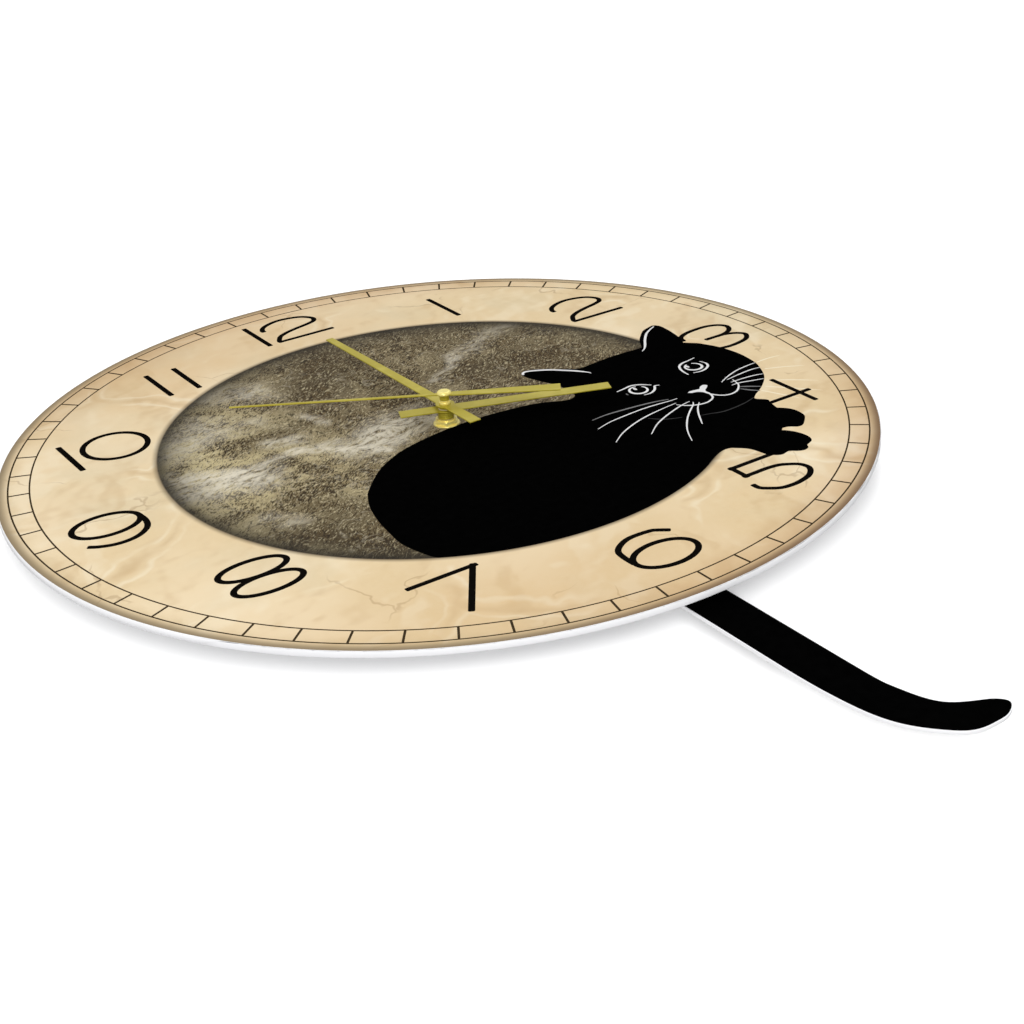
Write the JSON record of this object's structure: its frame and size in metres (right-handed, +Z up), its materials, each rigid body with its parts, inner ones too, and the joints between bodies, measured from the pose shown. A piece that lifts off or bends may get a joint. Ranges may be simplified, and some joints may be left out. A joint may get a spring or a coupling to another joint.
{
  "type": "cat tail clock",
  "caption": "Round wall clock with a printed resting cat, baton hands, a battery quartz movement behind the dial and a flat tail that hangs below as a pendulum.",
  "frame": {"origin": "centre of the movement's hanging hole, on the plane of the wall", "axes": "+Z up towards twelve o'clock, -Y out of the dial towards the viewer, +Y into the wall, +X to the right towards three o'clock"},
  "size_m": [0.3, 0.0333, 0.3902],
  "materials": {
    "printed_board": "printed white board, satin, parchment ring with a grey marble centre",
    "black_tail": "white board with a matte black printed front",
    "case_plastic": "black moulded plastic, fine texture",
    "white_plastic": "natural acetal, satin",
    "gear_plastic": "cream acetal, satin",
    "hand_gold": "olive gold lacquer on aluminium, satin",
    "brass": "polished",
    "steel": "bright rolled",
    "copper": "enamelled copper wire",
    "circuit_board": "green laminate",
    "resin": "black epoxy drop",
    "lead_film": "amber film",
    "magnet": "dark sintered magnet",
    "rubber": "black rubber, matte",
    "battery_sleeve": "printed sleeve with no lettering"
  },
  "bodies": {
    "movement": {"dial_board": "printed_board", "rubber_gasket": "rubber", "washer": "brass", "hex_nut": "brass", "spindle_bush": "brass", "case_front": "case_plastic", "case_back": "case_plastic", "gear_plate": "white_plastic", "plate_screws": "steel", "coil_core": "steel", "stator": "steel", "stator_screws": "steel", "coil_bobbin": "white_plastic", "coil_winding": "copper", "circuit_board": "circuit_board", "driver_chip": "resin", "quartz_crystal": "steel", "contact_plate": "steel", "contact_spring": "steel", "pendulum_lead": "lead_film", "pendulum_pivot_pin": "steel", "pendulum_bobbin": "white_plastic", "pendulum_winding": "copper"},
    "battery": {"battery": "battery_sleeve"},
    "rotor": {"rotor_magnet": "magnet", "rotor_pinion": "white_plastic"},
    "fifth_wheel": {"fifth_wheel": "gear_plastic", "fifth_pinion": "white_plastic"},
    "second_wheel": {"second_wheel": "gear_plastic", "second_arbor": "steel", "second_hand": "hand_gold", "second_hand_cap": "brass"},
    "third_wheel": {"third_wheel": "gear_plastic", "third_pinion": "white_plastic"},
    "minute_wheel": {"centre_wheel": "gear_plastic", "minute_pipe": "brass", "minute_hand": "hand_gold", "minute_nut": "brass"},
    "motion_wheel": {"motion_wheel": "gear_plastic"},
    "hour_wheel": {"hour_wheel": "gear_plastic", "hour_hand": "hand_gold"},
    "set_knob": {"set_knob": "case_plastic"},
    "pendulum": {"pendulum_arm": "white_plastic", "pendulum_magnet": "magnet", "tail_clip": "white_plastic", "tail_board": "black_tail"}
  },
  "joints": [
    {"name": "minute_spin", "type": "hinge", "parent": "movement", "child": "minute_wheel", "pos_m": [0, 0, -0.038], "axis": [0, 1, 0], "continuous": true},
    {"name": "second_spin", "type": "hinge", "parent": "movement", "child": "second_wheel", "pos_m": [0, 0, -0.038], "axis": [0, 1, 0], "continuous": true},
    {"name": "rotor_spin", "type": "hinge", "parent": "movement", "child": "rotor", "pos_m": [-0.01294, 0, -0.05005], "axis": [0, 1, 0], "continuous": true},
    {"name": "fifth_spin", "type": "hinge", "parent": "movement", "child": "fifth_wheel", "pos_m": [-0.00987, 0, -0.04159], "axis": [0, 1, 0], "continuous": true},
    {"name": "third_spin", "type": "hinge", "parent": "movement", "child": "third_wheel", "pos_m": [0.0051, 0, -0.02917], "axis": [0, 1, 0], "continuous": true},
    {"name": "motion_spin", "type": "hinge", "parent": "movement", "child": "motion_wheel", "pos_m": [-0.00935, 0, -0.0326], "axis": [0, 1, 0], "continuous": true},
    {"name": "hour_spin", "type": "hinge", "parent": "movement", "child": "hour_wheel", "pos_m": [0, 0, -0.038], "axis": [0, 1, 0], "continuous": true},
    {"name": "set_knob_spin", "type": "hinge", "parent": "movement", "child": "set_knob", "pos_m": [-0.01475, 0, -0.02325], "axis": [0, 1, 0], "continuous": true},
    {"name": "tail_swing", "type": "hinge", "parent": "movement", "child": "pendulum", "pos_m": [0, 0, -0.086], "axis": [0, 1, 0], "range_deg": [-8, 8]},
    {"name": "battery_slide", "type": "slide", "parent": "movement", "child": "battery", "axis": [0, 1, 0], "range_m": [0, 0.016]}
  ],
  "couplings": [
    {"joint": "second_spin", "follows": "minute_spin", "ratio": 60},
    {"joint": "rotor_spin", "follows": "minute_spin", "ratio": 1800},
    {"joint": "fifth_spin", "follows": "minute_spin", "ratio": -360},
    {"joint": "third_spin", "follows": "minute_spin", "ratio": -8},
    {"joint": "motion_spin", "follows": "minute_spin", "ratio": -0.33333},
    {"joint": "hour_spin", "follows": "minute_spin", "ratio": 0.083333},
    {"joint": "set_knob_spin", "follows": "minute_spin", "ratio": 1}
  ]
}
